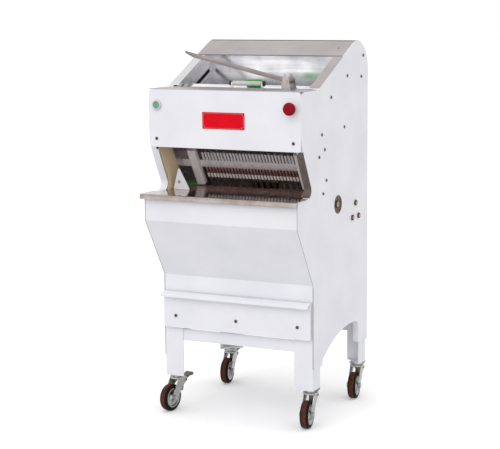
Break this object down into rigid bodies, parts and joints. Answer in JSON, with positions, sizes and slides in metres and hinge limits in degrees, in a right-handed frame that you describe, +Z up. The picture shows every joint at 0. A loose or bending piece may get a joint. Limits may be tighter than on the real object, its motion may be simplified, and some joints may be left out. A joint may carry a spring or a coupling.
{
  "type": "bread slicer machine",
  "caption": "Upright floor-standing bread slicer on casters with two reciprocating blade frames, sloped infeed, outfeed shelf and crumb drawer.",
  "frame": {"origin": "on the floor below the middle of the machine's box", "axes": "+Z up, +X to the right seen from the front, +Y towards the back"},
  "size_m": [0.572, 0.678, 1.2727],
  "materials": {
    "white_paint": "smooth white powder coat",
    "stainless": "brushed stainless steel",
    "polished_steel": "polished stainless steel",
    "blade_steel": "ground blade steel",
    "red_plate": "gloss red enamel",
    "red_button": "gloss red plastic",
    "green_button": "pale green plastic",
    "grey_plastic": "satin grey plastic",
    "green_plastic": "green polyethylene",
    "white_plastic": "white grip with black ends",
    "machine_steel": "oiled machined steel",
    "motor_paint": "grey-blue enamel",
    "belt_rubber": "black rubber",
    "zinc": "bright zinc plating",
    "tyre_rubber": "brown rubber",
    "black_plastic": "black plastic",
    "arm_steel": "satin steel bar",
    "screw_steel": "dark screw heads"
  },
  "bodies": {
    "root": {"side_panel_left": "white_paint", "side_panel_right": "white_paint", "front_cover": "white_paint", "hopper_panel": "white_paint", "back_panel": "white_paint", "frame_rails": "white_paint", "cross_members": "white_paint", "legs_front": "white_paint", "legs_rear": "white_paint", "infeed_ledge": "stainless", "infeed_strips": "stainless", "top_panel": "stainless", "outfeed_shelf": "stainless", "arm_pin": "stainless", "arm_bracket": "polished_steel", "outfeed_comb": "polished_steel", "bread_chute": "polished_steel", "bearing_wall_left": "polished_steel", "bearing_wall_right": "polished_steel", "name_plate": "red_plate", "button_bezels": "grey_plastic", "frame_guides": "green_plastic", "flange_bearings": "machine_steel", "motor": "motor_paint", "drive_belt": "belt_rubber", "panel_screws": "screw_steel", "cable_gland": "black_plastic", "caster_plates": "zinc"},
    "frame_front": {"blade_frame_front": "stainless", "blades_front": "blade_steel"},
    "frame_rear": {"blade_frame_rear": "stainless", "blades_rear": "blade_steel"},
    "crank": {"crankshaft": "machine_steel", "driven_pulley": "machine_steel"},
    "rods_front": {"connecting_rods_front": "machine_steel"},
    "rods_rear": {"connecting_rods_rear": "machine_steel"},
    "motor_rotor": {"motor_pulley": "machine_steel"},
    "start": {"start_button": "green_button"},
    "stop": {"stop_button": "red_button"},
    "drawer": {"crumb_drawer": "white_paint"},
    "arm": {"hold_down_arm": "arm_steel"},
    "pusher": {"pusher_carriage": "stainless", "pusher_grip": "white_plastic", "pusher_pad": "green_plastic"},
    "fork_fl": {"caster_fork_fl": "zinc"},
    "roller_fl": {"wheel_fl": "zinc", "tyre_fl": "tyre_rubber"},
    "pedal_fl": {"brake_pedal_fl": "black_plastic"},
    "fork_fr": {"caster_fork_fr": "zinc"},
    "roller_fr": {"wheel_fr": "zinc", "tyre_fr": "tyre_rubber"},
    "pedal_fr": {"brake_pedal_fr": "black_plastic"},
    "fork_rl": {"caster_fork_rl": "zinc"},
    "roller_rl": {"wheel_rl": "zinc", "tyre_rl": "tyre_rubber"},
    "pedal_rl": {"brake_pedal_rl": "black_plastic"},
    "fork_rr": {"caster_fork_rr": "zinc"},
    "roller_rr": {"wheel_rr": "zinc", "tyre_rr": "tyre_rubber"},
    "pedal_rr": {"brake_pedal_rr": "black_plastic"}
  },
  "joints": [
    {"name": "frame_front_stroke", "type": "slide", "parent": "root", "child": "frame_front", "axis": [0, -0.5299, 0.848], "range_m": [-0.02, 0]},
    {"name": "frame_rear_stroke", "type": "slide", "parent": "root", "child": "frame_rear", "axis": [0, -0.5299, 0.848], "range_m": [0, 0.02]},
    {"name": "crank_turn", "type": "hinge", "parent": "root", "child": "crank", "pos_m": [0, 0.14029, 0.5323], "axis": [1, 0, 0], "continuous": true},
    {"name": "rods_front_pivot", "type": "hinge", "parent": "crank", "child": "rods_front", "pos_m": [0, 0.13499, 0.54078], "axis": [1, 0, 0], "continuous": true},
    {"name": "rods_rear_pivot", "type": "hinge", "parent": "crank", "child": "rods_rear", "pos_m": [0, 0.14559, 0.52382], "axis": [1, 0, 0], "continuous": true},
    {"name": "motor_turn", "type": "hinge", "parent": "root", "child": "motor_rotor", "pos_m": [0, 0.17429, 0.6803], "axis": [1, 0, 0], "continuous": true},
    {"name": "start_press", "type": "slide", "parent": "root", "child": "start", "axis": [0, 1, 0], "range_m": [0, 0.004], "stiffness_N_per_m": 600, "springref_m": -0.002},
    {"name": "stop_press", "type": "slide", "parent": "root", "child": "stop", "axis": [0, 1, 0], "range_m": [0, 0.006]},
    {"name": "drawer_slide", "type": "slide", "parent": "root", "child": "drawer", "axis": [0, -1, 0], "range_m": [0, 0.35]},
    {"name": "arm_lift", "type": "hinge", "parent": "root", "child": "arm", "pos_m": [0.18, -0.15898, 1.15], "axis": [0, 1, 0], "range_deg": [-12, 75]},
    {"name": "pusher_slide", "type": "slide", "parent": "root", "child": "pusher", "axis": [0, 0.9048, 0.4258], "range_m": [0, 0.15]},
    {"name": "swivel_fl", "type": "hinge", "parent": "root", "child": "fork_fl", "pos_m": [-0.254, -0.15698, 0.115], "axis": [0, 0, 1], "continuous": true},
    {"name": "roll_fl", "type": "hinge", "parent": "fork_fl", "child": "roller_fl", "pos_m": [-0.25957, -0.19659, 0.047], "axis": [0.9903, -0.1392, 0], "continuous": true},
    {"name": "brake_fl", "type": "hinge", "parent": "fork_fl", "child": "pedal_fl", "pos_m": [-0.25038, -0.13123, 0.0985], "axis": [0.9903, -0.1392, 0], "range_deg": [-15, 0]},
    {"name": "swivel_fr", "type": "hinge", "parent": "root", "child": "fork_fr", "pos_m": [0.254, -0.15698, 0.115], "axis": [0, 0, 1], "continuous": true},
    {"name": "roll_fr", "type": "hinge", "parent": "fork_fr", "child": "roller_fr", "pos_m": [0.25957, -0.19659, 0.047], "axis": [0.9903, 0.1392, 0], "continuous": true},
    {"name": "brake_fr", "type": "hinge", "parent": "fork_fr", "child": "pedal_fr", "pos_m": [0.25038, -0.13123, 0.0985], "axis": [0.9903, 0.1392, 0], "range_deg": [-15, 0]},
    {"name": "swivel_rl", "type": "hinge", "parent": "root", "child": "fork_rl", "pos_m": [-0.254, 0.25802, 0.115], "axis": [0, 0, 1], "continuous": true},
    {"name": "roll_rl", "type": "hinge", "parent": "fork_rl", "child": "roller_rl", "pos_m": [-0.24843, 0.21841, 0.047], "axis": [0.9903, 0.1392, 0], "continuous": true},
    {"name": "brake_rl", "type": "hinge", "parent": "fork_rl", "child": "pedal_rl", "pos_m": [-0.25762, 0.28377, 0.0985], "axis": [0.9903, 0.1392, 0], "range_deg": [-15, 0]},
    {"name": "swivel_rr", "type": "hinge", "parent": "root", "child": "fork_rr", "pos_m": [0.254, 0.25802, 0.115], "axis": [0, 0, 1], "continuous": true},
    {"name": "roll_rr", "type": "hinge", "parent": "fork_rr", "child": "roller_rr", "pos_m": [0.25957, 0.21841, 0.047], "axis": [0.9903, 0.1392, 0], "continuous": true},
    {"name": "brake_rr", "type": "hinge", "parent": "fork_rr", "child": "pedal_rr", "pos_m": [0.25038, 0.28377, 0.0985], "axis": [0.9903, 0.1392, 0], "range_deg": [-15, 0]}
  ],
  "couplings": [
    {"joint": "frame_rear_stroke", "follows": "frame_front_stroke", "ratio": -1},
    {"joint": "rods_front_pivot", "follows": "crank_turn", "ratio": -1},
    {"joint": "rods_rear_pivot", "follows": "crank_turn", "ratio": -1},
    {"joint": "motor_turn", "follows": "crank_turn", "ratio": 2.65}
  ]
}
